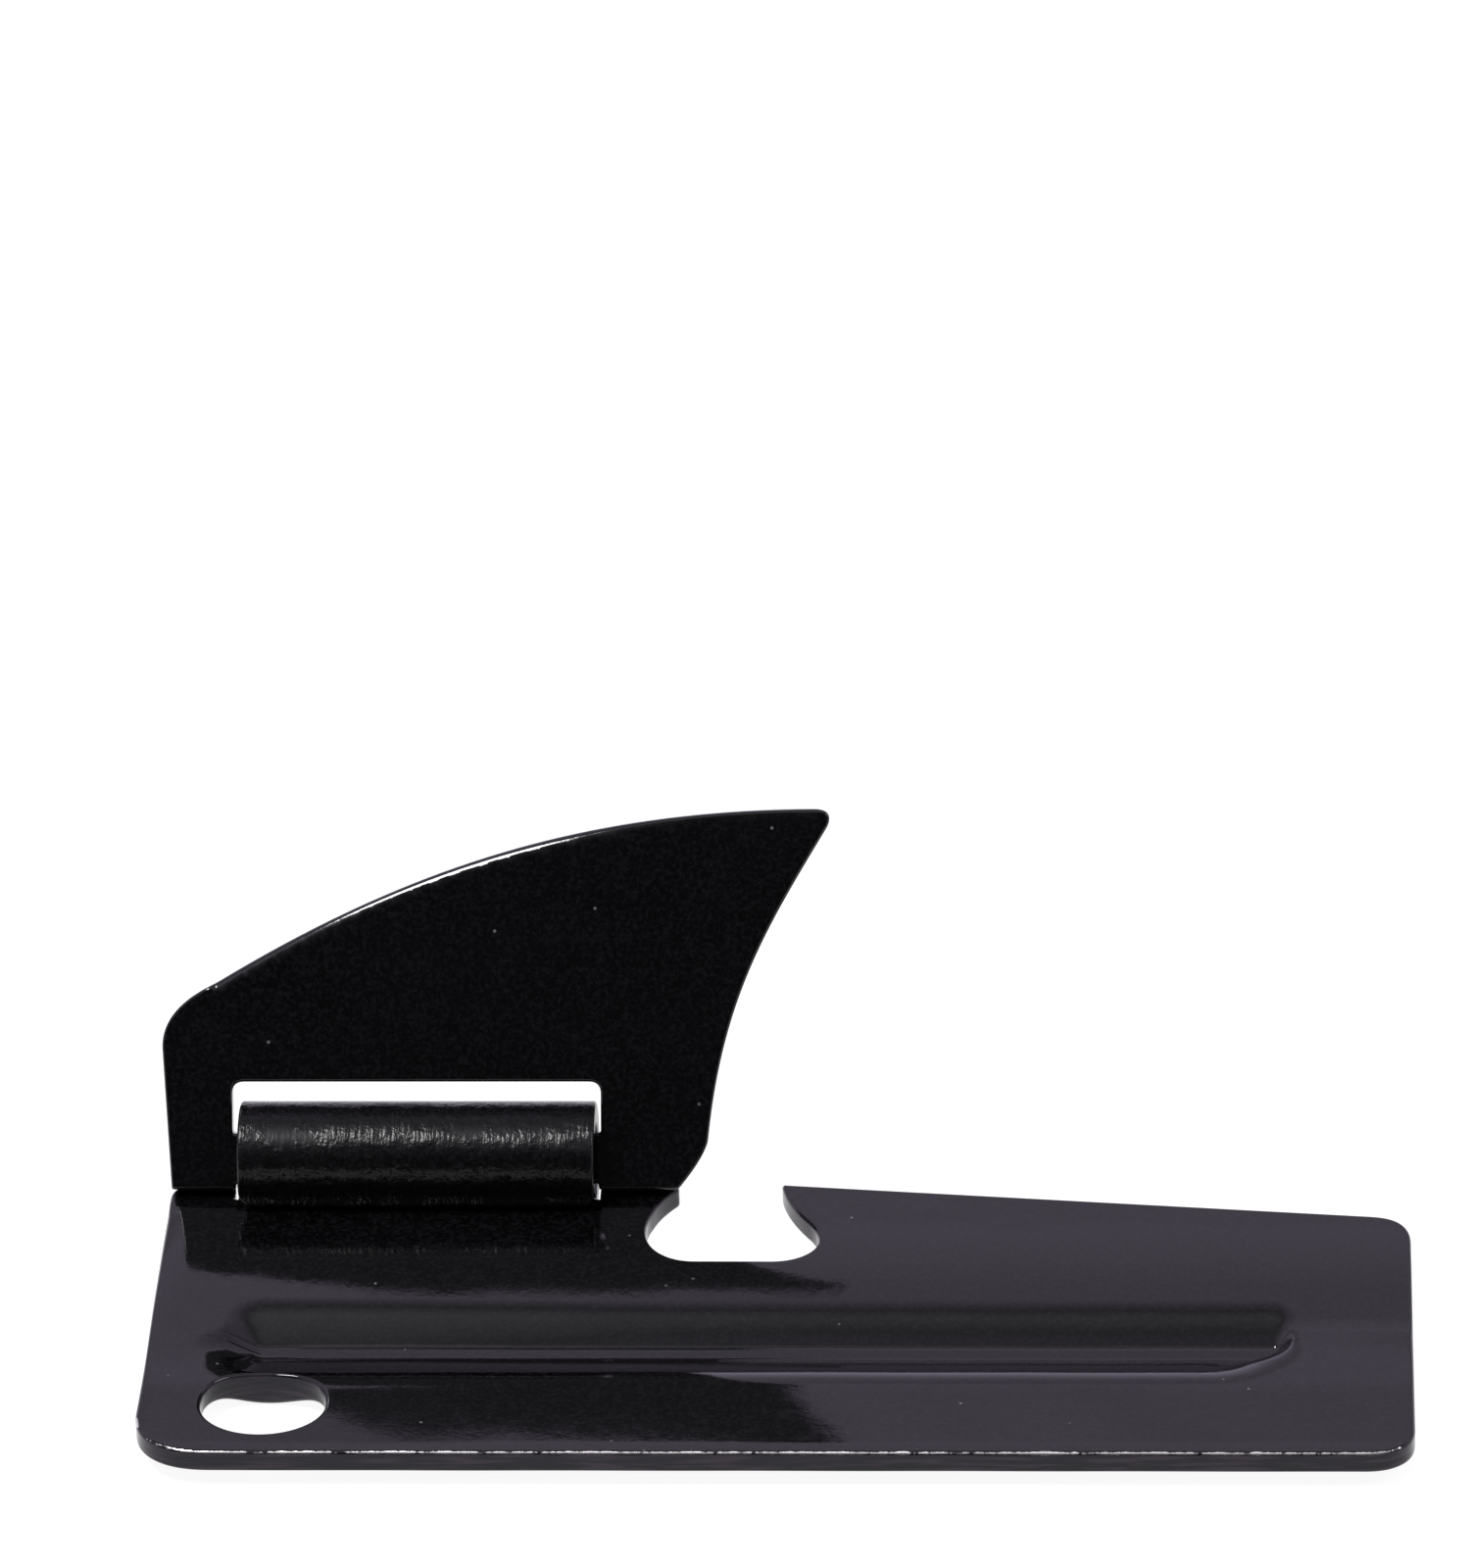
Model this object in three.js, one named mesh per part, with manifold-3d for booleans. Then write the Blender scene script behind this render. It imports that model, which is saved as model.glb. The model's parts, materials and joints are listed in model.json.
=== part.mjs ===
// Folding can opener: a stamped handle plate with a rolled hinge barrel, and a
// hooked blade whose base strip turns inside that barrel.
// Units are millimetres. X runs along the handle, Y from the front edge to the
// hinge edge, Z up from the handle towards the open blade.
import * as THREE from 'three';
import { mergeVertices } from 'three/addons/utils/BufferGeometryUtils.js';
import Module from 'manifold-3d';

const wasm = await Module();
wasm.setup();

// Sheet stock
const SHEET = 0.7;
const BLADE_SHEET = 0.7;

// Handle plate
const LENGTH = 38.0;
const LEFT_DEPTH = 14.25;
const NOTCH_DEPTH = 14.5;
const RIGHT_DEPTH = 12.55;
const FRONT_LEFT_R = 2.3;
const FRONT_RIGHT_R = 1.5;
const REAR_CORNER_R = 1.2;
const REAR_RISE = 0.5;
const SWELL_Y0 = 6.2;
const SWELL_Y1 = 12.4;
const KEY_HOLE_X = 3.75;
const KEY_HOLE_Y = 2.75;
const KEY_HOLE_R = 1.9;

// Stiffening rib, sunk into the top face and proud of the underside
const RIB_X0 = 3.2;
const RIB_X1 = 34.3;
const RIB_Y = 6.4;
const RIB_REAR = 1.65;
const RIB_FRONT = 2.0;
const RIB_END = 1.0;
const RIB_FLOOR = 0.15;
const RIB_DEPTH = 0.55;

// Rim notch
const NOTCH_MOUTH_X0 = 15.7;
const NOTCH_MOUTH_X1 = 18.8;
const NOTCH_X0 = 14.75;
const NOTCH_X1 = 20.1;
const NOTCH_FLOOR_Y = 10.2;

// Hinge barrel, rolled from a tongue on the rear edge
const AXIS_Y = 14.37;
const AXIS_Z = 1.58;
const BARREL_R = 1.72;
const BARREL_X0 = 2.15;
const BARREL_X1 = 13.15;
const TONGUE_Y = 12.2;
const CURL_START = -90;
const CURL_END = 213;
const SLIT_WIDTH = 0.25;
const SLIT_END_Y = 13.2;

// Blade, laid out in its own plane: u along the hinge, v away from it
const BLADE_TILT = 25;
const BASE_V = -0.98;
const STRIP_V0 = -0.78;
const STRIP_V1 = 0.75;
const SLOT_U0 = 2.0;
const SLOT_U1 = 13.3;
const SLOT_V = 2.34;
const SLOT_CORNER_R = 0.35;
const BEVEL_WIDTH = 1.5;
const EDGE_LAND = 0.12;
const DIMPLE_U = 0.85;
const DIMPLE_V = 4.36;
const DIMPLE_R = 0.45;
const DIMPLE_DEPTH = 0.12;

const rad = (deg) => THREE.MathUtils.degToRad(deg);
const clamp = THREE.MathUtils.clamp;
const lerp = THREE.MathUtils.lerp;

function toSolid(geometry) {
  const bare = geometry.clone();
  bare.deleteAttribute('normal');
  bare.deleteAttribute('uv');
  const merged = mergeVertices(bare, 1e-5);
  return new wasm.Manifold(new wasm.Mesh({
    numProp: 3,
    vertProperties: new Float32Array(merged.attributes.position.array),
    triVerts: new Uint32Array(merged.index.array),
  }));
}

function toGeometry(solid) {
  const mesh = solid.getMesh();
  const geometry = new THREE.BufferGeometry();
  geometry.setAttribute('position', new THREE.BufferAttribute(mesh.vertProperties, 3));
  geometry.setIndex(new THREE.BufferAttribute(mesh.triVerts, 1));
  geometry.computeVertexNormals();
  return geometry;
}

// A box whose grid vertices, given as fractions along its three sides, are
// moved to where the formula puts them.
function warpedBox(nx, ny, nz, place) {
  const geometry = new THREE.BoxGeometry(1, 1, 1, nx, ny, nz);
  const position = geometry.attributes.position;
  for (let i = 0; i < position.count; i += 1) {
    const a = position.getX(i) + 0.5;
    const b = position.getY(i) + 0.5;
    const c = position.getZ(i) + 0.5;
    position.setXYZ(i, ...place(a, b, c));
  }
  return geometry;
}

function extrude(shape, depth, curveSegments = 12) {
  return new THREE.ExtrudeGeometry(shape, { depth, bevelEnabled: false, curveSegments });
}

// ---- Handle ---------------------------------------------------------------

// How far down the rib's wall a point lies: 0 outside the rib, 1 on its floor.
// The section is V-shaped with a narrow floor, and the ends are blunt.
function ribWall(x, y) {
  const along = clamp(x, RIB_X0 + RIB_END, RIB_X1 - RIB_END);
  const dx = Math.abs(x - along) / RIB_END;
  const dy = y > RIB_Y ? (y - RIB_Y) / RIB_REAR : (RIB_Y - y) / RIB_FRONT;
  const off = (dx ** 3 + dy ** 3) ** (1 / 3);
  return clamp((1 - off) / (1 - RIB_FLOOR), 0, 1);
}

// Height of the plate's top face above the level front strip. Behind the rib
// the plate swells up to its level rear part.
function plateHeight(x, y) {
  const t = clamp((y - SWELL_Y0) / (SWELL_Y1 - SWELL_Y0), 0, 1);
  const swell = REAR_RISE * (2.5 * t ** 1.5 - 1.5 * t ** 2.5);
  return lerp(swell, -RIB_DEPTH, ribWall(x, y));
}

function ribbedSheet() {
  const ends = [0, 0.2, 0.45, 0.7, 0.85, 1].map((f) => f * RIB_END);
  const xs = [
    -1, ...ends.map((d) => RIB_X0 + d), ...ends.map((d) => RIB_X1 - d).reverse(), LENGTH + 1,
  ];
  const walls = [RIB_FLOOR, 0.35, 0.55, 0.75, 0.9, 1];
  const swell = [0.12, 0.28, 0.46, 0.66, 1].map((f) => lerp(RIB_Y + RIB_REAR, SWELL_Y1, f));
  const ys = [
    -1, ...walls.map((f) => RIB_Y - f * RIB_FRONT).reverse(),
    ...walls.map((f) => RIB_Y + f * RIB_REAR), ...swell, AXIS_Y + 2,
  ];
  return warpedBox(xs.length - 1, ys.length - 1, 1, (a, b, c) => {
    const x = xs[Math.round(a * (xs.length - 1))];
    const y = ys[Math.round(b * (ys.length - 1))];
    return [x, y, plateHeight(x, y) - SHEET * (1 - c)];
  });
}

function plateOutline() {
  const shape = new THREE.Shape();
  const rear = REAR_CORNER_R;
  shape.moveTo(FRONT_LEFT_R, 0);
  shape.lineTo(LENGTH - FRONT_RIGHT_R, 0);
  shape.quadraticCurveTo(LENGTH, 0, LENGTH, FRONT_RIGHT_R);
  shape.lineTo(LENGTH, RIGHT_DEPTH - rear);
  shape.quadraticCurveTo(LENGTH, RIGHT_DEPTH, LENGTH - rear, RIGHT_DEPTH + 0.12);
  shape.lineTo(NOTCH_MOUTH_X1, NOTCH_DEPTH);
  // Right side of the notch, its floor, then its left side
  shape.quadraticCurveTo(18.95, 13.4, NOTCH_X1 - 0.35, 12.2);
  shape.bezierCurveTo(NOTCH_X1, 11.6, NOTCH_X1 + 0.1, 10.95, NOTCH_X1 - 0.5, 10.5);
  shape.quadraticCurveTo(19.2, NOTCH_FLOOR_Y, 18.6, NOTCH_FLOOR_Y);
  shape.lineTo(16.3, NOTCH_FLOOR_Y);
  shape.quadraticCurveTo(15.6, NOTCH_FLOOR_Y, 15.15, 10.7);
  shape.bezierCurveTo(NOTCH_X0, 11.15, NOTCH_X0 - 0.15, 12.0, NOTCH_X0 + 0.2, 12.9);
  shape.quadraticCurveTo(15.15, 13.6, NOTCH_MOUTH_X0, NOTCH_DEPTH - 0.2);
  shape.lineTo(NOTCH_MOUTH_X0 - 0.3, NOTCH_DEPTH);
  // Slits either side of the tongue let it roll up clear of the plate
  shape.lineTo(BARREL_X1 + SLIT_WIDTH, NOTCH_DEPTH);
  shape.lineTo(BARREL_X1 + SLIT_WIDTH, SLIT_END_Y);
  shape.lineTo(BARREL_X1, SLIT_END_Y);
  shape.lineTo(BARREL_X1, TONGUE_Y + 0.3);
  shape.lineTo(BARREL_X0, TONGUE_Y + 0.3);
  shape.lineTo(BARREL_X0, SLIT_END_Y);
  shape.lineTo(BARREL_X0 - SLIT_WIDTH, SLIT_END_Y);
  shape.lineTo(BARREL_X0 - SLIT_WIDTH, LEFT_DEPTH);
  shape.lineTo(0.6, LEFT_DEPTH);
  shape.quadraticCurveTo(0.06, LEFT_DEPTH, 0.06, LEFT_DEPTH - 0.6);
  shape.lineTo(0, FRONT_LEFT_R);
  shape.quadraticCurveTo(0, 0, FRONT_LEFT_R, 0);
  const hole = new THREE.Path();
  hole.absarc(KEY_HOLE_X, KEY_HOLE_Y, KEY_HOLE_R, 0, Math.PI * 2, true);
  shape.holes.push(hole);
  return shape;
}

// Section of the tongue, which climbs a little, and its curl, in the Y-Z plane.
function curlSection() {
  const inner = BARREL_R - SHEET;
  const top = AXIS_Z - inner;
  const bend = (AXIS_Y - TONGUE_Y) / 2;
  const shape = new THREE.Shape();
  shape.moveTo(TONGUE_Y, REAR_RISE);
  shape.lineTo(TONGUE_Y, REAR_RISE - SHEET);
  shape.bezierCurveTo(
    TONGUE_Y + bend, REAR_RISE - SHEET, AXIS_Y - bend, top - SHEET, AXIS_Y, top - SHEET,
  );
  shape.absarc(AXIS_Y, AXIS_Z, BARREL_R, rad(CURL_START), rad(CURL_END), false);
  shape.absarc(AXIS_Y, AXIS_Z, inner, rad(CURL_END), rad(CURL_START), true);
  shape.bezierCurveTo(AXIS_Y - bend, top, TONGUE_Y + bend, REAR_RISE, TONGUE_Y, REAR_RISE);
  return shape;
}

function buildHandle() {
  const outline = extrude(plateOutline(), 6);
  outline.translate(0, 0, -3);
  const curl = extrude(curlSection(), BARREL_X1 - BARREL_X0, 36);
  const toYZ = new THREE.Matrix4().makeBasis(
    new THREE.Vector3(0, 1, 0), new THREE.Vector3(0, 0, 1), new THREE.Vector3(1, 0, 0),
  );
  curl.applyMatrix4(toYZ);
  curl.translate(BARREL_X0, 0, 0);
  return toSolid(ribbedSheet()).intersect(toSolid(outline)).add(toSolid(curl));
}

// ---- Blade ----------------------------------------------------------------

const TIP = new THREE.Vector2(20.28, 10.15);
const HEEL = new THREE.Vector2(16.58, 0.5);

// Concave cutting edge, from the tip down to the heel.
function cuttingEdge() {
  return new THREE.CubicBezierCurve(
    TIP, new THREE.Vector2(18.4, 7.04), new THREE.Vector2(17.04, 4.9), HEEL,
  );
}

function bladeOutline() {
  const shape = new THREE.Shape();
  shape.moveTo(0.12, BASE_V);
  shape.lineTo(SLOT_U0, BASE_V);
  shape.lineTo(SLOT_U0, STRIP_V0);
  shape.lineTo(SLOT_U1, STRIP_V0);
  shape.lineTo(SLOT_U1, BASE_V);
  shape.lineTo(15.65, BASE_V);
  shape.quadraticCurveTo(16.4, -0.1, HEEL.x, HEEL.y);
  shape.bezierCurveTo(17.04, 4.9, 18.4, 7.04, TIP.x, TIP.y);
  shape.quadraticCurveTo(20.5, 10.67, 19.9, 10.68);
  shape.bezierCurveTo(12.8, 10.66, 7.34, 8.87, 1.5, 5.36);
  shape.quadraticCurveTo(-0.15, 4.6, -0.14, 3.4);
  shape.lineTo(0.12, BASE_V);
  const slot = new THREE.Path();
  const r = SLOT_CORNER_R;
  slot.moveTo(SLOT_U0, STRIP_V1);
  slot.lineTo(SLOT_U0, SLOT_V - r);
  slot.quadraticCurveTo(SLOT_U0, SLOT_V, SLOT_U0 + r, SLOT_V);
  slot.lineTo(SLOT_U1 - r, SLOT_V);
  slot.quadraticCurveTo(SLOT_U1, SLOT_V, SLOT_U1, SLOT_V - r);
  slot.lineTo(SLOT_U1, STRIP_V1);
  slot.closePath();
  shape.holes.push(slot);
  return shape;
}

// Wedge that grinds the outer face down to the cutting edge. It runs a little
// past both ends and dies out at the heel.
function bevelWedge() {
  const edge = cuttingEdge();
  const reach = 0.6;
  return warpedBox(18, 1, 1, (a, b, c) => {
    const along = clamp(a, 0.001, 0.999);
    const point = edge.getPoint(along);
    const tangent = edge.getTangent(along);
    const width = BEVEL_WIDTH * Math.min(1, (1 - a) * 5 + 0.25);
    const side = lerp(width, -reach, b);
    const overrun = a < 0.01 ? -1.2 : 0;
    const u = point.x + tangent.x * overrun + tangent.y * side;
    const v = point.y + tangent.y * overrun - tangent.x * side;
    const drop = (BLADE_SHEET - EDGE_LAND) * (width - side) / width;
    const depth = Math.min(drop, BLADE_SHEET - EDGE_LAND);
    return [u, v, c < 0.5 ? -BLADE_SHEET - 0.5 : depth - BLADE_SHEET + 0.001];
  });
}

// The flat blade: u along X, v along Y, inner face at Z = 0, body below it.
function flatBlade() {
  const sheet = extrude(bladeOutline(), BLADE_SHEET, 14);
  sheet.translate(0, 0, -BLADE_SHEET);
  const ball = (DIMPLE_R ** 2 + DIMPLE_DEPTH ** 2) / (2 * DIMPLE_DEPTH);
  const dimple = new THREE.SphereGeometry(ball, 48, 32);
  dimple.translate(DIMPLE_U, DIMPLE_V, ball - DIMPLE_DEPTH);
  return toSolid(sheet)
    .subtract(toSolid(bevelWedge()))
    .subtract(toSolid(dimple));
}

function buildBlade() {
  const geometry = toGeometry(flatBlade());
  // Centre the sheet on the hinge axis, stand it up and lean it back
  const stand = new THREE.Matrix4().makeBasis(
    new THREE.Vector3(1, 0, 0), new THREE.Vector3(0, 0, 1), new THREE.Vector3(0, -1, 0),
  );
  geometry.translate(0, 0, BLADE_SHEET / 2);
  geometry.applyMatrix4(stand);
  geometry.applyMatrix4(new THREE.Matrix4().makeRotationX(rad(-BLADE_TILT)));
  geometry.translate(0, AXIS_Y, AXIS_Z);
  geometry.computeVertexNormals();
  return geometry;
}

function part(name, geometry, material) {
  const mesh = new THREE.Mesh(geometry, new THREE.MeshStandardMaterial(material));
  mesh.name = name;
  return mesh;
}

const ENAMEL = { color: 0x141316, roughness: 0.22, metalness: 0.25 };

// The origin sits under the plate's middle, on the rib's flat crest.
const opener = new THREE.Group();
opener.position.set(-LENGTH / 2, -RIB_Y, SHEET + RIB_DEPTH);
opener.add(part('handle', toGeometry(buildHandle()), ENAMEL));
opener.add(part('blade', buildBlade(), ENAMEL));

export default opener;
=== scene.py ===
"""Folding can opener: a black-enamelled steel plate with a rolled hinge barrel,
and the hooked blade that turns in it."""

import json
import math

import bpy
import numpy as np
from mathutils import Matrix, Vector
from mathutils.geometry import delaunay_2d_cdt


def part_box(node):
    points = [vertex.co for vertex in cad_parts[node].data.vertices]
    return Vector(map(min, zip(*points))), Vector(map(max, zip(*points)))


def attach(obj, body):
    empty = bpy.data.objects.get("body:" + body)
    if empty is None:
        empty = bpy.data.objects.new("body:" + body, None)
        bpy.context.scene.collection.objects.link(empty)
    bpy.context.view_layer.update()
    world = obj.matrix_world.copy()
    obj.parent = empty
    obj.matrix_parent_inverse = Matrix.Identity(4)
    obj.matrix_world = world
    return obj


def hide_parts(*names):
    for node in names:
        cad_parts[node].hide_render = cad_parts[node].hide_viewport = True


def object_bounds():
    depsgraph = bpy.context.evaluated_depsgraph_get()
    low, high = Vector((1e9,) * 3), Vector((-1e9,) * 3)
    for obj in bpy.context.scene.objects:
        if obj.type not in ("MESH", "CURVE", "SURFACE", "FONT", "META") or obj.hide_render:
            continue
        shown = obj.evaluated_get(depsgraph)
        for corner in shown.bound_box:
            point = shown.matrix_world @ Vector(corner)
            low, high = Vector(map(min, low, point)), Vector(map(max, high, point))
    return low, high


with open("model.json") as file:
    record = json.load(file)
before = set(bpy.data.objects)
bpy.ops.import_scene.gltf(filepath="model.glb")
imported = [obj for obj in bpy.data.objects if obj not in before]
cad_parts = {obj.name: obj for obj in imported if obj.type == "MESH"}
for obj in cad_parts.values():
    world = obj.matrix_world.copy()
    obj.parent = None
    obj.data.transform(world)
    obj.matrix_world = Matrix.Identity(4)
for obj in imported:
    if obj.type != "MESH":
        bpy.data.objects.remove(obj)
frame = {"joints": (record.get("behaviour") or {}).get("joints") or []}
cad_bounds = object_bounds()

# ---- Sizes, in millimetres ---------------------------------------------------

SHEET = 0.7
BLADE_SHEET = 0.7
PLATE_LENGTH = 38.0
LEFT_DEPTH = 14.4
NOTCH_DEPTH = 14.5
RIGHT_DEPTH = 12.55
FRONT_LEFT_R, FRONT_RIGHT_R = 2.3, 1.5
REAR_CORNER_R = 1.2
PLATE_ARRIS = 0.12
KEY_HOLE = (3.75, 2.8)
KEY_HOLE_HALF = (1.87, 1.75)
REAR_RISE = 0.5
SWELL_Y0, SWELL_Y1 = 8.4, 12.4
SWELL_SLOPE = 0.14
RIB_X0, RIB_X1 = 3.2, 34.5
RIB_FRONT, RIB_REAR = 4.35, 7.95
FLOOR_FRONT, FLOOR_REAR = 6.1, 6.65
RIB_DEPTH = 0.55
BARREL_R = 1.72
BARREL_X0, BARREL_X1 = 2.15, 13.15
TONGUE_Y = 12.2
CURL_END = 213.0
CURL_ARRIS, CURL_CORNER_R = 0.1, 0.5
SLIT_WIDTH, SLIT_END_Y = 0.1, 13.6
BLADE_TILT = math.radians(25)

hinge = frame["joints"][0]
plate_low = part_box("handle")[0]
# The plate's left end, front edge and level top face, in the row frame
ORIGIN = np.array([
    plate_low.x * 1000,
    plate_low.y * 1000,
    plate_low.z * 1000 + SHEET + RIB_DEPTH,
])
AXIS_Y = hinge["pos_m"][1] * 1000 - ORIGIN[1]
AXIS_Z = hinge["pos_m"][2] * 1000 - ORIGIN[2]


# ---- Outlines ----------------------------------------------------------------

def bezier(points, count=40):
    """Points along a Bezier curve of any degree, without its last point."""
    t = np.linspace(0, 1, count, endpoint=False)[:, None]
    points = [np.array(p, float) for p in points]
    while len(points) > 1:
        points = [a * (1 - t) + b * t for a, b in zip(points, points[1:])]
    return points[0] * np.ones_like(t)


def closed_path(start, pieces):
    """A closed outline from a start point and pieces, each a list of the
    control points that follow."""
    here = start
    runs = []
    for piece in pieces:
        runs.append(bezier([here, *piece]))
        here = piece[-1]
    return np.vstack(runs)


def resample(loop, step):
    ring = np.vstack([loop, loop[:1]])
    length = np.concatenate([[0], np.cumsum(np.linalg.norm(np.diff(ring, axis=0), axis=1))])
    count = max(16, int(round(length[-1] / step)))
    at = np.linspace(0, length[-1], count, endpoint=False)
    return np.column_stack([np.interp(at, length, ring[:, k]) for k in range(2)])


def soften(loop, radius, step=0.03):
    """Rounds the corners of a closed outline by about the radius given."""
    fine = resample(loop, step)
    reach = int(3 * radius / step)
    weights = np.exp(-0.5 * (np.arange(-reach, reach + 1) * step / radius) ** 2)
    weights /= weights.sum()
    wrapped = np.vstack([fine[-reach:], fine, fine[:reach]])
    return np.column_stack([np.convolve(wrapped[:, k], weights, "valid") for k in range(2)])


def right_normals(loop):
    ahead = np.roll(loop, -1, axis=0) - np.roll(loop, 1, axis=0)
    ahead /= np.linalg.norm(ahead, axis=1)[:, None]
    return np.column_stack([ahead[:, 1], -ahead[:, 0]])


def inside(points, loop):
    """Which points lie in a closed outline."""
    x, y = points[:, 0][:, None], points[:, 1][:, None]
    x0, y0 = loop[:, 0][None], loop[:, 1][None]
    x1, y1 = np.roll(loop[:, 0], -1)[None], np.roll(loop[:, 1], -1)[None]
    crosses = (y0 > y) != (y1 > y)
    rise = np.where(y1 == y0, 1e-12, y1 - y0)
    return (crosses & (x < (x1 - x0) * (y - y0) / rise + x0)).sum(1) % 2 == 1


def nearest(points, loop):
    """Distance from each point to the closest of the loop's points."""
    best = np.full(len(points), 1e9)
    for start in range(0, len(loop), 400):
        chunk = loop[start:start + 400]
        gap = np.linalg.norm(points[:, None] - chunk[None], axis=2).min(1)
        best = np.minimum(best, gap)
    return best


# ---- Meshes ------------------------------------------------------------------

class Skin:
    """Vertices, normals, faces and three weights, gathered piece by piece: how worn an arris is
    (on the plate's front arris partly a painted highlight), how far a surface is a cut edge, and
    whether it was rolled."""

    def __init__(self):
        self.points, self.normals, self.faces = [], [], []
        self.weights = {"wear_and_highlight": [], "cut": [], "rolled": []}
        self.count = 0

    def add(self, points, normals, wear_and_highlight, cut=0.0, rolled=0.0):
        first = self.count
        self.points.append(np.asarray(points, float))
        self.normals.append(np.asarray(normals, float))
        for name, value in (("wear_and_highlight", wear_and_highlight), ("cut", cut), ("rolled", rolled)):
            self.weights[name].append(np.broadcast_to(value, (len(points),)))
        self.count += len(points)
        return np.arange(first, self.count)

    def bridge(self, ring_a, ring_b, closed=True):
        """Quads between two rings of equal length, facing out when the material
        is on the left of the direction of travel and ring_b is lower."""
        a, b = np.asarray(ring_a), np.asarray(ring_b)
        a2, b2 = np.roll(a, -1), np.roll(b, -1)
        rows = np.column_stack([a, b, b2, a2])
        self.faces.extend((rows if closed else rows[:-1]).tolist())

    def build(self, name, placement):
        mesh = bpy.data.meshes.new(name)
        points = np.vstack(self.points) / 1000
        mesh.from_pydata(points.tolist(), [], self.faces)
        mesh.polygons.foreach_set("use_smooth", [True] * len(mesh.polygons))
        normals = np.vstack(self.normals)
        normals /= np.linalg.norm(normals, axis=1)[:, None]
        mesh.transform(placement)
        turned = normals @ np.array(placement.to_3x3()).T
        mesh.normals_split_custom_set_from_vertices(turned.tolist())
        for key, values in self.weights.items():
            layer = mesh.attributes.new(key, "FLOAT", "POINT")
            layer.data.foreach_set("value", np.concatenate(values).astype(np.float32))
        mesh.validate()
        obj = bpy.data.objects.new(name, mesh)
        bpy.context.scene.collection.objects.link(obj)
        return obj


def slopes(height, xy, step=0.01):
    dx = height(xy + [step, 0]) - height(xy - [step, 0])
    dy = height(xy + [0, step]) - height(xy - [0, step])
    return np.column_stack([-dx, -dy, np.full(len(xy), 2 * step)]) / (2 * step)


def sheet_skin(skin, loops, top, bottom, grid, radius, wear_and_highlight, turns=5):
    """A sheet between two height fields, with rounded arrises. The material is on the left of
    every loop. The arris function, called with (xy, side), weighs how worn the arrises are,
    which on the plate's front arris is partly a painted highlight; side is 1 on top, -1
    underneath and 0 on the cut edge."""
    inset = [loop - right_normals(loop) * radius for loop in loops]
    rings = []
    for loop in loops:
        out = right_normals(loop)
        side = np.column_stack([out, np.zeros(len(out))])
        levels = []
        for sign, height in ((1, top), (-1, bottom)):
            for k in range(turns + 1):
                turn = math.pi / 2 * k / turns
                xy = loop - out * radius * (1 - math.sin(turn))
                z = height(xy) - sign * radius * (1 - math.cos(turn))
                face = slopes(height, xy) * sign
                face /= np.linalg.norm(face, axis=1)[:, None]
                normal = face * math.cos(turn) + side * math.sin(turn)
                amount = wear_and_highlight(xy, sign) * max(math.sin(2 * turn), 0) ** 1.5
                points = np.column_stack([xy, z])
                cut = smooth(2 * math.sin(turn) - 1)
                levels.append((sign, k, skin.add(points, normal, amount, cut)))
        ordered = [i for s, k, i in levels if s == 1]
        ordered += [i for s, k, i in reversed(levels) if s == -1]
        for a, b in zip(ordered, ordered[1:]):
            skin.bridge(a, b)
        rings.append((ordered[0], ordered[-1]))
    ring_xy = np.vstack(inset)
    keep = inside(grid, inset[0])
    for hole in inset[1:]:
        keep &= ~inside(grid, hole)
    inner = grid[keep]
    inner = inner[nearest(inner, ring_xy) > 0.09]
    edges, start = [], 0
    for ring in inset:
        n = len(ring)
        edges += [(start + i, start + (i + 1) % n) for i in range(n)]
        start += n
    flat = np.vstack([ring_xy, inner])
    out = delaunay_2d_cdt([Vector(p) for p in flat], edges, [], 0, 1e-7)
    made = np.array([list(p) for p in out[0]])
    source = np.array([o[0] if o else -1 for o in out[3]])
    triangles = np.array(out[2])
    middle = made[triangles].mean(1)
    solid = inside(middle, inset[0])
    for hole in inset[1:]:
        solid &= ~inside(middle, hole)
    # Slivers can only bridge a hollow of the outline
    sides = made[triangles] - made[np.roll(triangles, 1, axis=1)]
    solid &= np.linalg.norm(sides, axis=2).max(1) < 1
    triangles = triangles[solid]
    top_ids = np.concatenate([r[0] for r in rings] + [skin.add(
        np.column_stack([inner, top(inner)]), slopes(top, inner), 0)])
    low_ids = np.concatenate([r[1] for r in rings] + [skin.add(
        np.column_stack([inner, bottom(inner)]), -slopes(bottom, inner), 0)])
    source = source[triangles]
    skin.faces.extend(top_ids[source].tolist())
    skin.faces.extend(low_ids[source][:, ::-1].tolist())


def grid_points(xs, ys):
    return np.column_stack([g.ravel() for g in np.meshgrid(xs, ys)])


def graded(low, high, coarse, spans):
    """Positions from low to high, closer together in spans of (from, to, step)."""
    values = list(np.arange(low, high, coarse))
    for a, b, step in spans:
        values = [v for v in values if not a - 0.02 < v < b] + list(np.arange(a, b, step))
    return np.array(sorted(values))


# ---- Handle ------------------------------------------------------------------

def ramp(value, soft):
    """0 below 0 and the value itself above it, with a rounded corner."""
    bend = (value + soft) ** 2 / (4 * soft)
    return np.where(value < -soft, 0, np.where(value > soft, value, bend))


def smooth(value):
    value = np.clip(value, 0, 1)
    return value * value * (3 - 2 * value)


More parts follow.
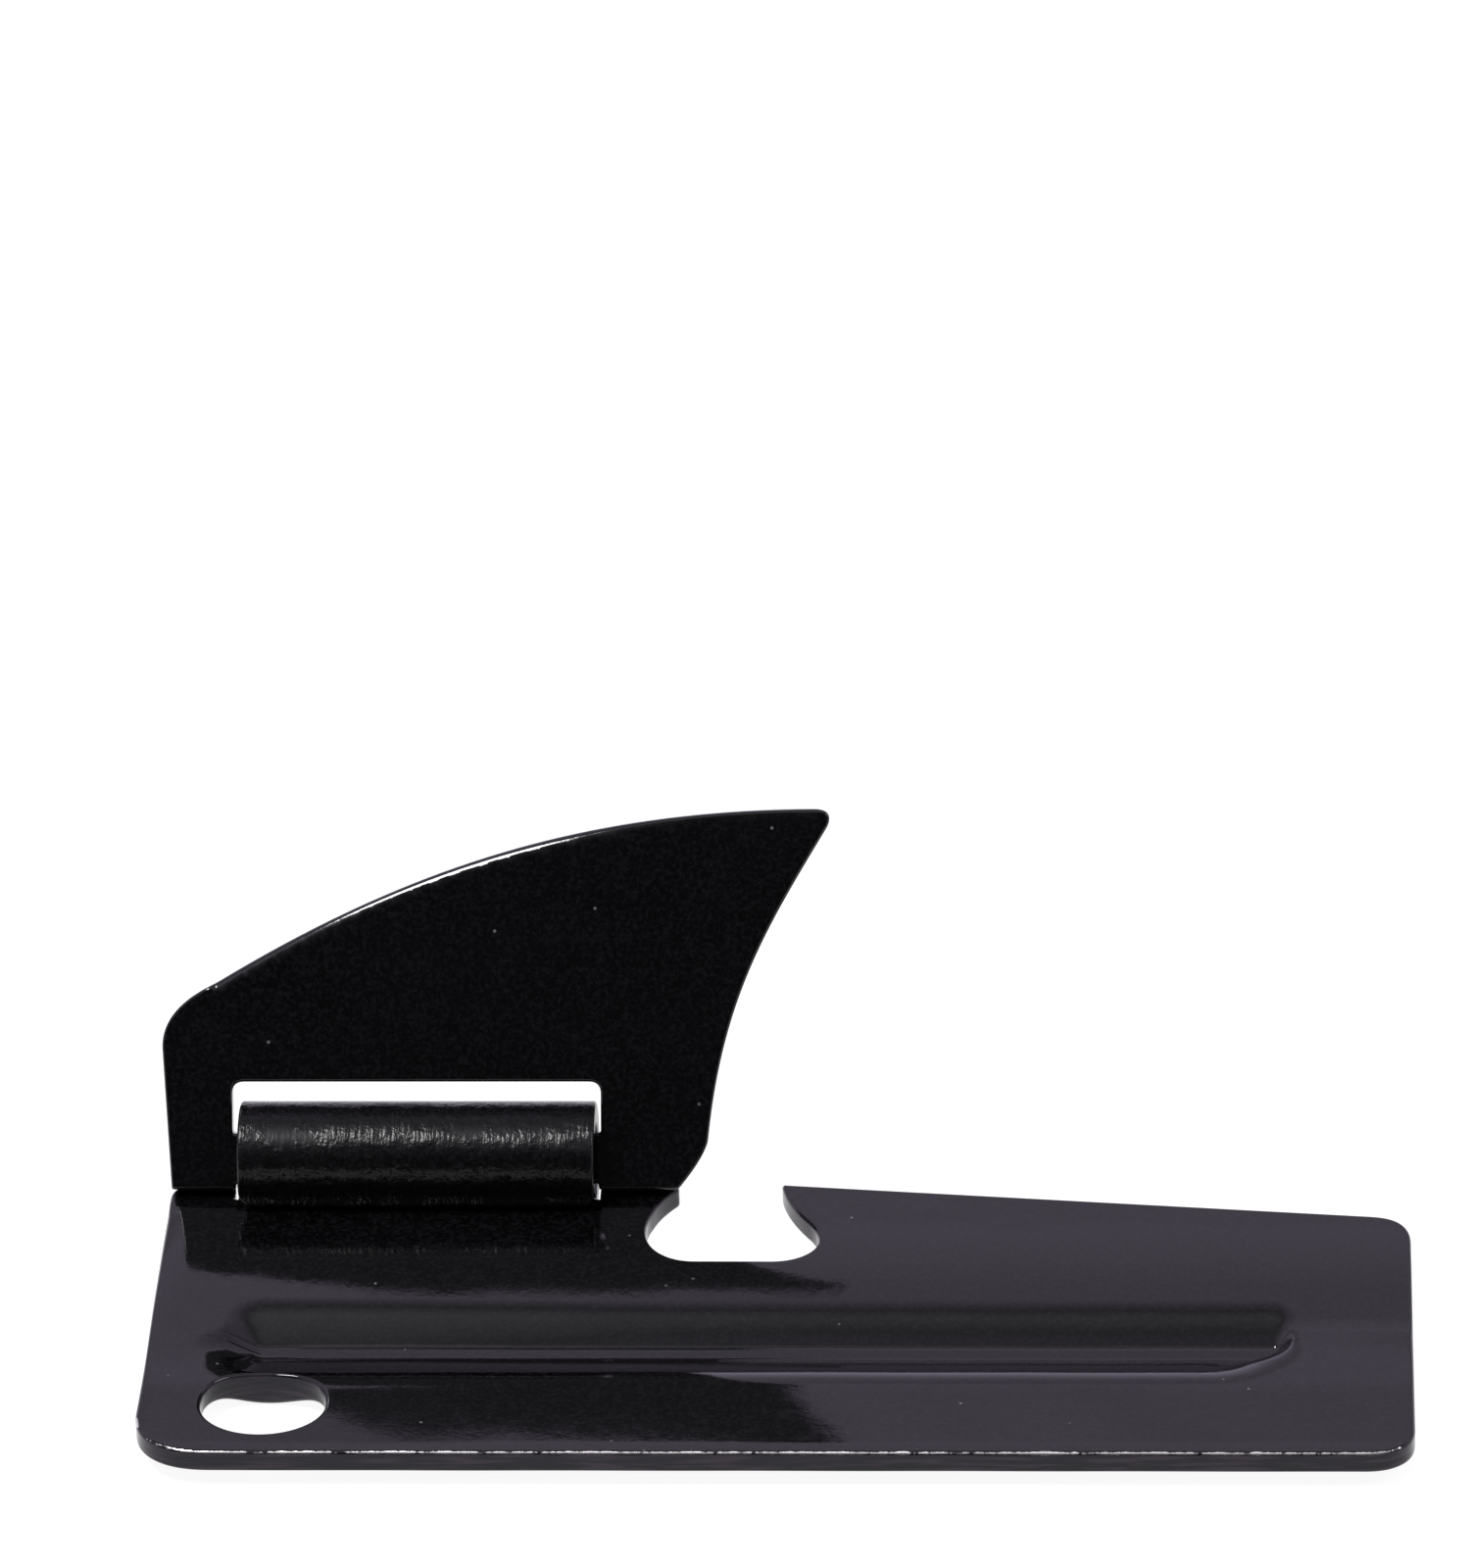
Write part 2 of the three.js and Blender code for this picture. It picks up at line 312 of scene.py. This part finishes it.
def rib_wall(x, y):
    """How far down the rib's wall: 0 outside the rib, 1 on its floor. The right
    end's rear corner is tighter than its front one, and the left end reaches out
    softly in front."""
    middle = (FLOOR_FRONT + FLOOR_REAR) / 2
    forward = smooth((middle + 0.2 - y) / 1.4)
    left = smooth((12 - x) / 6)
    start = RIB_X0 - 0.8 - 0.7 * smooth((7.2 - y) / 1.6)
    reach = np.where(x < 12, 3.5 - start, 0.7 + 1.9 * forward)
    along = np.clip(x, start + reach, RIB_X1 - reach)
    behind = y > middle
    half = np.where(behind, RIB_REAR - middle, middle - RIB_FRONT)
    floor = np.where(behind, FLOOR_REAR - middle, middle - FLOOR_FRONT) / half
    power = np.where(behind | (x < 12), 2.4, 1.8)
    off_x, off_y = np.abs(x - along) / reach, np.abs(y - middle) / half
    off = (off_x ** power + off_y ** power) ** (1 / power)
    wall = (1 - off) / (1 - floor)
    shoulder = np.where(behind, 0.24, 0.31)
    return ramp(wall, shoulder) - ramp(wall - 1, 0.04 + 0.06 * left * smooth((5 - x) / 1.2))


def swell(x, y):
    """The plate climbs behind the rib to its nearly level rear part, more
    gently at the key-hole end."""
    t = np.clip((y - SWELL_Y0) / (SWELL_Y1 - SWELL_Y0), 0, 1)
    short = (0.5 - t + t ** 3 - t ** 4 / 2) * (SWELL_Y1 - SWELL_Y0) + np.maximum(SWELL_Y0 - y, 0)
    slope = SWELL_SLOPE * (0.62 + 0.4 * smooth((x - 2) / 18))
    return ramp(REAR_RISE + 0.03 - slope * short + 0.012 * (y - SWELL_Y1), 0.06)


def tongue_lift(x, y):
    """The tongue climbs between its slits towards the barrel."""
    climb = AXIS_Z - BARREL_R + SHEET - swell(x, AXIS_Y)
    shear = SLIT_WIDTH * 0.6
    between = smooth((x - BARREL_X0 + shear) / shear) * smooth((BARREL_X1 + shear - x) / shear)
    return climb * smooth((y - TONGUE_Y) / (AXIS_Y - TONGUE_Y)) * between


def plate_top(xy):
    """Height of the plate's upper face."""
    x, y = xy[:, 0], xy[:, 1]
    wall = rib_wall(x, y)
    # The floor tilts a little and the punch has left a crease along its rear side
    floor = -RIB_DEPTH + 0.15 * (np.clip(y, 6.05, 6.7) - 6.3)
    floor = floor - 0.014 * np.exp(-((y - 6.64) / 0.05) ** 2)
    level = swell(x, y) * (1 - wall) + floor * wall
    # The shears leave the rim rolled over, and nothing stamped is quite flat
    rolled = sum(np.clip(1 - gap / 0.6, 0, 1) ** 2 for gap in (x, y, PLATE_LENGTH - x))
    beside = smooth((y - 7.5) / 3) * smooth((13.6 - y) / 0.8)
    rolled = rolled + 2.8 * np.clip(1 - x / 1.1, 0, 1) ** 2 * beside
    waves = 0.005 * np.sin(x * 0.5 + 1.0) * np.sin(y * 0.6) + 0.003 * np.sin(x * 1.1 + y * 0.8)
    # It dips beside the rib's left end, and the front strip falls towards the rib
    dip = 0.03 * np.exp(-((x - 2.6) / 1.1) ** 2 - ((y - 6.6) / 1.3) ** 2)
    lean = 0.009 + 0.022 * np.exp(-((x - 7.0) / 4.5) ** 2)
    dip = dip + lean * y * (1 - smooth((y - 3.4) / 2.6))
    calm = np.clip((TONGUE_Y - y) / 2, 0, 1)
    return level - 0.035 * rolled + waves * calm - dip + tongue_lift(x, y)


def plate_bottom(xy):
    """The upper face's own shape one sheet lower, bulging behind the key hole
    where the rib's end is pressed out."""
    bulge = np.exp(-((xy[:, 0] - 3.75) / 1.6) ** 2 - ((xy[:, 1] - 4.8) / 0.6) ** 2)
    return plate_top(xy) - SHEET - 0.4 * bulge


def plate_loops():
    rear = REAR_CORNER_R
    outline = closed_path((FRONT_LEFT_R, 0), [
        [(PLATE_LENGTH - FRONT_RIGHT_R, 0)],
        [(PLATE_LENGTH, 0), (PLATE_LENGTH, FRONT_RIGHT_R)],
        [(PLATE_LENGTH, RIGHT_DEPTH - rear)],
        [(PLATE_LENGTH, RIGHT_DEPTH), (PLATE_LENGTH - rear, RIGHT_DEPTH + 0.12)],
        [(18.8, NOTCH_DEPTH)],
        # Right side of the notch, its floor, then its left side
        [(18.95, 13.4), (19.75, 12.2)],
        [(20.1, 11.6), (20.2, 10.95), (19.6, 10.5)],
        [(19.2, 10.2), (18.6, 10.2)],
        [(16.3, 10.2)],
        [(15.6, 10.2), (15.15, 10.7)],
        [(14.75, 11.15), (14.6, 12.0), (14.95, 12.9)],
        [(15.15, 13.6), (15.7, NOTCH_DEPTH - 0.2)],
        [(15.4, NOTCH_DEPTH)],
        # Slits either side of the tongue
        [(BARREL_X1 + SLIT_WIDTH, NOTCH_DEPTH)],
        [(BARREL_X1 + SLIT_WIDTH, SLIT_END_Y)],
        [(BARREL_X1, SLIT_END_Y)],
        [(BARREL_X1, AXIS_Y - 0.2)],
        [(BARREL_X0, AXIS_Y - 0.2)],
        [(BARREL_X0, SLIT_END_Y)],
        [(BARREL_X0 - SLIT_WIDTH, SLIT_END_Y)],
        [(BARREL_X0 - SLIT_WIDTH, LEFT_DEPTH)],
        [(0.6, LEFT_DEPTH)],
        [(0.06, LEFT_DEPTH), (0.06, LEFT_DEPTH - 0.6)],
        [(0, FRONT_LEFT_R)],
        [(0, 0), (FRONT_LEFT_R, 0)],
    ])
    # The key hole is punched a little flat on its rear side
    turn = np.linspace(0, -2 * math.pi, 400, endpoint=False)
    rise = np.where(np.sin(turn) > 0, np.abs(np.sin(turn)) ** 0.75, np.sin(turn))
    hole = np.column_stack([
        KEY_HOLE[0] + KEY_HOLE_HALF[0] * np.cos(turn),
        KEY_HOLE[1] + KEY_HOLE_HALF[1] * rise,
    ])
    return [resample(soften(outline, 0.06), 0.1), resample(hole, 0.1)]


def strip_section(shrink, narrow):
    """Section of the rolled strip: along x, across the sheet, normal, wear."""
    half = SHEET / 2 - shrink
    x0, x1 = BARREL_X0 + 0.1 + shrink + narrow, BARREL_X1 - shrink - narrow
    r = max(CURL_ARRIS - shrink, 0.02)
    rows = [(x, half, 0, 1, 0.35) for x in np.linspace(x0 + r, x1 - r, 60)]
    for x, side, start in ((x1, 1, 90), (x0, -1, -90)):
        arcs = []
        for quarter in (0, -90):
            for turn in np.radians(np.linspace(start + quarter, start + quarter - 90, 6)):
                cx = x - side * r
                ct = (half - r) * (1 if (quarter == 0) == (side == 1) else -1)
                arcs.append((cx + r * math.cos(turn), ct + r * math.sin(turn),
                             math.cos(turn), math.sin(turn), 0.6))
        rows += arcs
        if side == 1:
            rows += [(x, -half, 0, -1, 0) for x in np.linspace(x1 - r, x0 + r, 60)[1:-1]]
    return np.array(rows[:-1])


def add_curl(skin):
    """The tongue rolled into a barrel: a rounded strip swept round the axis."""
    middle = BARREL_R - SHEET / 2
    # (centre, outward direction, shrink, narrowing); the strip starts inside the tongue
    stations = []
    for y, shrink in ((AXIS_Y - 0.7, 0.06), (AXIS_Y - 0.45, 0.015), (AXIS_Y - 0.3, 0.0)):
        middle_x = np.array([(BARREL_X0 + BARREL_X1) / 2])
        level = (swell(middle_x, y) + tongue_lift(middle_x, y))[0] - SHEET / 2
        stations.append(((y, level), (0.0, -1.0), shrink, 0.0))
    for angle in np.arange(-90, CURL_END + 0.1, 3.0):
        turn = math.radians(angle)
        out = (math.cos(turn), math.sin(turn))
        left = math.radians(CURL_END - angle) * middle
        past = max(CURL_CORNER_R - left, 0)
        narrow = CURL_CORNER_R - math.sqrt(CURL_CORNER_R ** 2 - past ** 2)
        centre = (AXIS_Y + middle * out[0], AXIS_Z + middle * out[1])
        stations.append((centre, out, 0.0, narrow))

    def ring(centre, out, shrink, narrow, lean=0.0):
        """One section of the strip; lean tips its normals over the free end."""
        x, t, nx, nt, wear_and_highlight = strip_section(shrink, narrow).T
        forward = (-out[1], out[0])
        points = np.column_stack([x, centre[0] + t * out[0], centre[1] + t * out[1]])
        flat = math.cos(lean)
        normals = np.column_stack([
            nx * flat,
            nt * out[0] * flat + forward[0] * math.sin(lean),
            nt * out[1] * flat + forward[1] * math.sin(lean),
        ])
        return skin.add(points, normals, wear_and_highlight, rolled=1.0)

    rings = [ring(*station) for station in stations]
    centre, out, _, narrow = stations[-1]
    for k in range(1, 5):
        turn = math.pi / 2 * k / 4
        step = CURL_ARRIS * math.sin(turn)
        moved = (centre[0] - out[1] * step, centre[1] + out[0] * step)
        shrink = CURL_ARRIS * (1 - math.cos(turn)) * 0.75
        rings.append(ring(moved, out, shrink, narrow, turn))
    for a, b in zip(rings, rings[1:]):
        skin.bridge(a, b)
    skin.faces.append(rings[-1].tolist())
    skin.faces.append(rings[0][::-1].tolist())


CHIPS = [((0.05, 1.65), 0.3), ((22.9, 0.1), 0.12), ((27.1, 0.1), 0.14), ((33.3, 0.1), 0.1)]


def plate_wear_and_highlight(xy, side):
    """Steel shows along the whole front arris, partly as rubbing and partly as a painted
    highlight, and the arris is chipped in a few spots.
    """
    front = np.clip(1 - xy[:, 1] / 1.5, 0, 1)
    chips = sum(np.exp(-(np.linalg.norm(xy - at, axis=1) / size) ** 2) for at, size in CHIPS)
    return 0.3 + 1.0 * front + 2.2 * chips if side == 1 else 0.3 + 0.8 * chips


def build_handle():
    skin = Skin()
    xs = graded(0.1, PLATE_LENGTH, 0.4, [
        (0.1, 0.7, 0.08), (BARREL_X0 - 0.2, BARREL_X0 + 0.1, 0.06), (2.8, 5.4, 0.08),
        (BARREL_X1 - 0.1, BARREL_X1 + 0.2, 0.06), (32.6, 34.9, 0.08), (37.3, 37.9, 0.08),
    ])
    ys = graded(0.1, 14.2, 0.3, [(0.1, 0.7, 0.08), (3.6, 9.2, 0.1), (5.9, 6.8, 0.04)])
    sheet_skin(skin, plate_loops(), plate_top, plate_bottom,
               grid_points(xs, ys), PLATE_ARRIS, plate_wear_and_highlight)
    add_curl(skin)
    return skin.build("opener_handle", Matrix.Translation(Vector(ORIGIN / 1000)))


# ---- Blade -------------------------------------------------------------------

BASE_V = -0.98
SLOT_U0, SLOT_U1, SLOT_V = 2.0, 13.3, 2.34
SLOT_CORNER_R = 0.35
STRIP_V0, STRIP_V1 = -0.78, 0.75
BLADE_ARRIS = 0.1
BEVEL_WIDTH, EDGE_THICKNESS = 1.5, 0.3
CUT_CURVE = [(20.28, 10.15), (18.4, 7.04), (17.04, 4.9), (16.58, 0.5)]
SPINE_CURVE = [(19.9, 10.68), (12.8, 10.66), (7.34, 8.87), (1.5, 5.36)]
CUT = bezier(CUT_CURVE, 300)
SPINE = bezier(SPINE_CURVE, 2000)
DIMPLE = (0.85, 4.36)


def blade_loops():
    outline = closed_path((0.12, BASE_V), [
        # The pin strip stands back a little from the ears on either side
        [(SLOT_U0 + 0.1, BASE_V)],
        [(SLOT_U0 + 0.1, STRIP_V0)],
        [(SLOT_U1 - 0.07, STRIP_V0)],
        [(SLOT_U1 - 0.07, BASE_V)],
        [(15.65, BASE_V)],
        [(16.4, -0.1), CUT_CURVE[3]],
        CUT_CURVE[2::-1],
        [(20.5, 10.67), SPINE_CURVE[0]],
        SPINE_CURVE[1:],
        [(-0.15, 4.6), (-0.14, 3.4)],
        [(0.12, BASE_V)],
    ])
    slot = closed_path((SLOT_U0, STRIP_V1), [
        [(SLOT_U0, SLOT_V - SLOT_CORNER_R)],
        [(SLOT_U0, SLOT_V), (SLOT_U0 + SLOT_CORNER_R, SLOT_V)],
        [(SLOT_U1 - SLOT_CORNER_R, SLOT_V)],
        [(SLOT_U1, SLOT_V), (SLOT_U1, SLOT_V - SLOT_CORNER_R)],
        [(SLOT_U1, STRIP_V1)],
        [(SLOT_U0, STRIP_V1)],
    ])
    return [resample(soften(outline, 0.04), 0.09), resample(soften(slot, 0.05), 0.08)]


def inner_face(uv):
    """Nearly flat, rolled over along the spine and dented by a small punch."""
    dimple = np.linalg.norm(uv - DIMPLE, axis=1) / 0.4
    waves = 0.003 * np.sin(uv[:, 0] * 0.6) * np.sin(uv[:, 1] * 0.8 + 1)
    rolled = np.clip(1 - nearest(uv, SPINE) / 0.3, 0, 1) ** 2
    deep = 0.04 + 0.09 * smooth((17 - uv[:, 0]) / 6)
    return BLADE_SHEET / 2 + waves - deep * rolled - 0.03 * np.exp(-(dimple * 1.4) ** 2)


def outer_face(uv):
    """The ground bevel thins the blade towards its cutting edge."""
    thin = np.clip(1 - nearest(uv, CUT) / BEVEL_WIDTH, 0, 1)
    return -BLADE_SHEET / 2 + (BLADE_SHEET - EDGE_THICKNESS) * thin


def blade_wear(uv, side):
    """The cutting edge is rubbed; the spine keeps its enamel."""
    return 0.2 + 0.5 * np.clip(1 - nearest(uv, CUT) / 0.6, 0, 1)


def build_blade():
    skin = Skin()
    xs = graded(-0.1, 20.4, 0.3, [(0.0, 1.7, 0.12), (15.0, 20.4, 0.12)])
    ys = graded(-1.0, 10.9, 0.25, [(3.6, 5.1, 0.12)])
    sheet_skin(skin, blade_loops(), inner_face, outer_face,
               grid_points(xs, ys), BLADE_ARRIS, blade_wear)
    # Sheet coordinates to the standing blade: u along X, v up, inner face forward
    stand = Matrix(((1, 0, 0, 0), (0, 0, -1, 0), (0, 1, 0, 0), (0, 0, 0, 1)))
    lean = Matrix.Rotation(-BLADE_TILT, 4, "X")
    place = Vector((ORIGIN[0] / 1000, hinge["pos_m"][1], hinge["pos_m"][2]))
    return skin.build("opener_blade", Matrix.Translation(place) @ lean @ stand)


# ---- Materials ---------------------------------------------------------------

class Nodes:
    """Small helper for laying out a node tree."""

    def __init__(self, tree):
        self.tree = tree

    def new(self, kind, **settings):
        node = self.tree.nodes.new(kind)
        for key, value in settings.items():
            setattr(node, key, value)
        return node

    def link(self, source, target):
        self.tree.links.new(source, target)

    def math(self, operation, a, b=None, clamp=False):
        node = self.new("ShaderNodeMath", operation=operation, use_clamp=clamp)
        for socket, value in zip(node.inputs, (a, b)):
            if value is None:
                continue
            if isinstance(value, (int, float)):
                socket.default_value = value
            else:
                self.link(value, socket)
        return node.outputs[0]

    def ramp(self, value, low, high, out_low=0.0, out_high=1.0):
        node = self.new("ShaderNodeMapRange", clamp=True, interpolation_type="SMOOTHSTEP")
        self.link(value, node.inputs["Value"])
        node.inputs["From Min"].default_value = low
        node.inputs["From Max"].default_value = high
        node.inputs["To Min"].default_value = out_low
        node.inputs["To Max"].default_value = out_high
        return node.outputs["Result"]

    def noise(self, where, scale, detail=2.0, roughness=0.5):
        node = self.new("ShaderNodeTexNoise")
        node.inputs["Scale"].default_value = scale
        node.inputs["Detail"].default_value = detail
        node.inputs["Roughness"].default_value = roughness
        self.link(where, node.inputs["Vector"])
        return node.outputs["Fac"]

    def stretch(self, where, scale, turn=0.0):
        """Coordinates scaled along each axis, after a turn about Z."""
        node = self.new("ShaderNodeMapping")
        node.inputs["Scale"].default_value = scale
        node.inputs["Rotation"].default_value = (0, 0, turn)
        self.link(where, node.inputs["Vector"])
        return node.outputs["Vector"]

    def attribute(self, name):
        return self.new("ShaderNodeAttribute", attribute_name=name).outputs["Fac"]

    def mix(self, factor, a, b):
        node = self.new("ShaderNodeMix", data_type="RGBA")
        self.link(factor, node.inputs["Factor"])
        for socket, value in ((node.inputs[6], a), (node.inputs[7], b)):
            if isinstance(value, tuple):
                socket.default_value = (*value, 1)
            else:
                self.link(value, socket)
        return node.outputs[2]


def enamel(name, wear_bias):
    """Glossy black stoved enamel over steel: orange peel, dust, fine scuffs and steel showing
    where the arrises have been worn through, which along the plate's front arris is partly a
    painted highlight."""
    material = bpy.data.materials.new(name)
    material.use_nodes = True
    n = Nodes(material.node_tree)
    shader = material.node_tree.nodes["Principled BSDF"]
    coordinates = n.new("ShaderNodeTexCoord")
    where = n.stretch(coordinates.outputs["Object"], (1000, 1000, 1000))
    wear_and_highlight = n.attribute("wear_and_highlight")
    cut = n.attribute("cut")
    rolled = n.attribute("rolled")

    patches = n.noise(where, 0.9, 4, 0.65)
    chips = n.noise(where, 5.0, 3, 0.6)
    # Steel showing through on the arrises; its even band along the plate's front arris is partly
    # rubbing and partly a painted highlight.
    rubbed = n.math("ADD", n.math("MULTIPLY", patches, 0.6), n.math("MULTIPLY", chips, 0.5))
    rubbed = n.math("ADD", rubbed, n.math("MULTIPLY", wear_and_highlight, 0.42))
    bare_metal_and_highlight = n.ramp(rubbed, 0.98 - wear_bias, 1.03 - wear_bias)
    bare_metal_and_highlight = n.math("MULTIPLY", bare_metal_and_highlight, n.ramp(wear_and_highlight, 0.05, 0.3), clamp=True)

    cloud = n.noise(where, 0.35, 3)
    grime = n.noise(where, 2.2, 5, 0.6)
    grain = n.ramp(n.noise(where, 7.0, 3, 0.7), 0.42, 0.68)
    black = n.mix(cloud, (0.0002, 0.0002, 0.0003), (0.0016, 0.0015, 0.0018))
    black = n.mix(grain, black, (0.0048, 0.0045, 0.0051))

    cells = n.new("ShaderNodeTexVoronoi", feature="F1")
    cells.inputs["Scale"].default_value = 0.9
    n.link(where, cells.inputs["Vector"])
    spots = n.ramp(cells.outputs["Distance"], 0.025, 0.06, 1.0, 0.0)
    pick = n.new("ShaderNodeSeparateColor")
    n.link(cells.outputs["Color"], pick.inputs[0])
    dust = n.math("MULTIPLY", spots, n.ramp(pick.outputs[0], 0.55, 0.6))
    # Cut edges carry thin enamel, drawn out in streaks along the sheet
    along = n.stretch(where, (0.5, 0.5, 7.0))
    streaks = n.ramp(n.noise(along, 1.0, 3), 0.45, 0.62)
    edge = n.mix(streaks, (0.006, 0.0047, 0.0095), (0.026, 0.0185, 0.028))
    black = n.mix(cut, black, edge)
    painted = n.mix(n.math("MULTIPLY", dust, 0.3), black, (0.35, 0.34, 0.36))
    colour = n.mix(bare_metal_and_highlight, painted, (0.62, 0.6, 0.6))
    n.link(colour, shader.inputs["Base Color"])
    n.link(bare_metal_and_highlight, shader.inputs["Metallic"])

    gloss = n.math("ADD", n.ramp(grime, 0.35, 0.75, 0.06, 0.11), n.math("MULTIPLY", dust, 0.3))
    scuffs = n.noise(n.stretch(where, (0.35, 6.0, 6.0), 0.25), 1.6, 2)
    gloss = n.math("ADD", gloss, n.ramp(scuffs, 0.64, 0.78, 0.0, 0.06))
    gloss = n.math("ADD", gloss, n.math("MULTIPLY", rolled, 0.16))
    gloss = n.math("ADD", gloss, n.math("MULTIPLY", bare_metal_and_highlight, 0.2), clamp=True)
    n.link(gloss, shader.inputs["Roughness"])
    # Worked enamel has lost some of its shine
    worked = n.math("MAXIMUM", cut, rolled)
    n.link(n.ramp(worked, 0.0, 1.0, 0.5, 0.28), shader.inputs["Specular IOR Level"])
    shader.inputs["IOR"].default_value = 1.5

    peel = n.noise(where, 0.8, 2)
    fine = n.noise(where, 7.0, 2)
    relief = n.math("ADD", n.math("MULTIPLY", peel, 1.6), n.math("MULTIPLY", fine, 0.5))
    # The rolled barrel is drawn round its axis, which leaves short grooves
    drawn = n.stretch(where, (9.0, 1.6, 1.6))
    grooves = n.math("MULTIPLY", n.noise(drawn, 1.0, 3), rolled)
    grooves = n.math("MULTIPLY", grooves, n.ramp(patches, 0.38, 0.62, 2.0, 15.0))
    relief = n.math("ADD", relief, grooves)
    relief = n.math("SUBTRACT", relief, n.math("MULTIPLY", bare_metal_and_highlight, 0.4))
    bump = n.new("ShaderNodeBump")
    bump.inputs["Strength"].default_value = 0.25
    bump.inputs["Distance"].default_value = 0.00001
    n.link(relief, bump.inputs["Height"])
    n.link(bump.outputs["Normal"], shader.inputs["Normal"])
    return material


def floor_material():
    material = bpy.data.materials.new("pale_floor")
    material.use_nodes = True
    n = Nodes(material.node_tree)
    shader = material.node_tree.nodes["Principled BSDF"]
    coordinates = n.new("ShaderNodeTexCoord")
    tone = n.noise(coordinates.outputs["Object"], 3.0, 2)
    n.link(n.mix(tone, (0.18, 0.18, 0.18), (0.21, 0.21, 0.21)), shader.inputs["Base Color"])
    shader.inputs["Roughness"].default_value = 0.9
    shader.inputs["Specular IOR Level"].default_value = 0.0
    shader.inputs["Emission Color"].default_value = (1, 1, 1, 1)
    shader.inputs["Emission Strength"].default_value = 0.92
    return material


# ---- The object --------------------------------------------------------------

handle = build_handle()
handle.data.materials.append(enamel("handle_enamel", 0.02))
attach(handle, "handle")
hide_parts("handle")

blade = build_blade()
blade.data.materials.append(enamel("blade_enamel", 0.04))
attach(blade, "blade")
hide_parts("blade")

# ---- Floor, light and camera -------------------------------------------------

FLOOR_SIZE, FLOOR_GAP = 6, 0.00002
bpy.ops.mesh.primitive_plane_add(size=FLOOR_SIZE, location=(0, 0, cad_bounds[0][2] - FLOOR_GAP))
floor = bpy.context.object
floor.name = "floor"
floor.data.materials.append(floor_material())

BACKDROP = (1.05, 0.94, 1.22)
OVERHEAD = (1.02, 0.98, 1.1)
world = bpy.data.worlds.new("studio")
world.use_nodes = True
bpy.context.scene.world = world
w = Nodes(world.node_tree)
background = world.node_tree.nodes["Background"]
direction = w.new("ShaderNodeTexCoord")
axes = w.new("ShaderNodeSeparateXYZ")
w.link(direction.outputs["Generated"], axes.inputs[0])
# Radiance of the studio round the object's cross-section, from the backdrop's
# foot (0 degrees) over the top (90) to the dark room in front (180)
STUDIO = [
    (0, 0.80, BACKDROP), (10, 0.66, BACKDROP), (22, 0.40, BACKDROP),
    (29, 0.41, BACKDROP), (33, 0.62, BACKDROP), (42, 0.68, BACKDROP),
    (60, 0.56, BACKDROP), (78, 0.31, OVERHEAD), (92, 0.62, OVERHEAD),
    (107, 1.15, OVERHEAD), (116, 0.60, OVERHEAD), (123, 0.30, OVERHEAD),
    (134, 0.16, OVERHEAD), (147, 0.07, OVERHEAD), (160, 0.04, OVERHEAD),
    (180, 0.035, OVERHEAD),
]
STUDIO_PEAK = 1.5
angle = w.math("DIVIDE", w.math("ARCTAN2", axes.outputs["Z"], axes.outputs["Y"]), math.pi)
profile = w.new("ShaderNodeValToRGB")
w.link(angle, profile.inputs["Fac"])
stops = profile.color_ramp.elements
while len(stops) < len(STUDIO):
    stops.new(0.5)
for stop, (degrees, radiance, tint) in zip(stops, STUDIO):
    stop.position = degrees / 180
    stop.color = (*(radiance / STUDIO_PEAK * part for part in tint), 1)
# Towards the object's ends the studio is an even grey
sideways = w.ramp(w.math("ABSOLUTE", axes.outputs["X"]), 0.6, 1.0)
w.link(w.mix(sideways, profile.outputs["Color"], (0.5, 0.46, 0.56)), background.inputs["Color"])
background.inputs["Strength"].default_value = STUDIO_PEAK


def area_light(name, place, width, height, power):
    """An oval soft light that faces the object."""
    data = bpy.data.lights.new(name, "AREA")
    data.shape = "ELLIPSE"
    data.size = width
    data.size_y = height
    data.energy = power
    light = bpy.data.objects.new(name, data)
    light.location = place
    light.rotation_euler = (-Vector(place)).to_track_quat("-Z", "Y").to_euler()
    bpy.context.scene.collection.objects.link(light)


area_light("key", (-0.26, -0.11, 0.62), 0.34, 0.13, 4.1)
area_light("fill", (0.55, -0.1, 0.5), 0.3, 0.3, 1.0)

# Where the camera stands from the plate's front left corner, and how it is turned
CAMERA_OFFSET = (0.03337, -0.26986, 0.16983)
CAMERA_FORWARD = (-0.0482, 0.8766, -0.4788)
CAMERA_RIGHT = (0.9988, 0.0415, -0.0245)
camera_data = bpy.data.cameras.new("camera")
camera_data.sensor_fit = "HORIZONTAL"
camera_data.sensor_width = 36
camera_data.lens = 264.25
camera_data.clip_start = 0.01
camera = bpy.data.objects.new("camera", camera_data)
forward = Vector(CAMERA_FORWARD).normalized()
right = Vector(CAMERA_RIGHT)
right = (right - forward * right.dot(forward)).normalized()
up = right.cross(forward)
turn = Matrix((right, up, -forward)).transposed().to_4x4()
eye = Vector(ORIGIN / 1000) + Vector(CAMERA_OFFSET)
camera.matrix_world = Matrix.Translation(eye) @ turn
bpy.context.scene.collection.objects.link(camera)
bpy.context.scene.camera = camera
bpy.context.scene.view_settings.view_transform = "Standard"

bpy.context.view_layer.update()
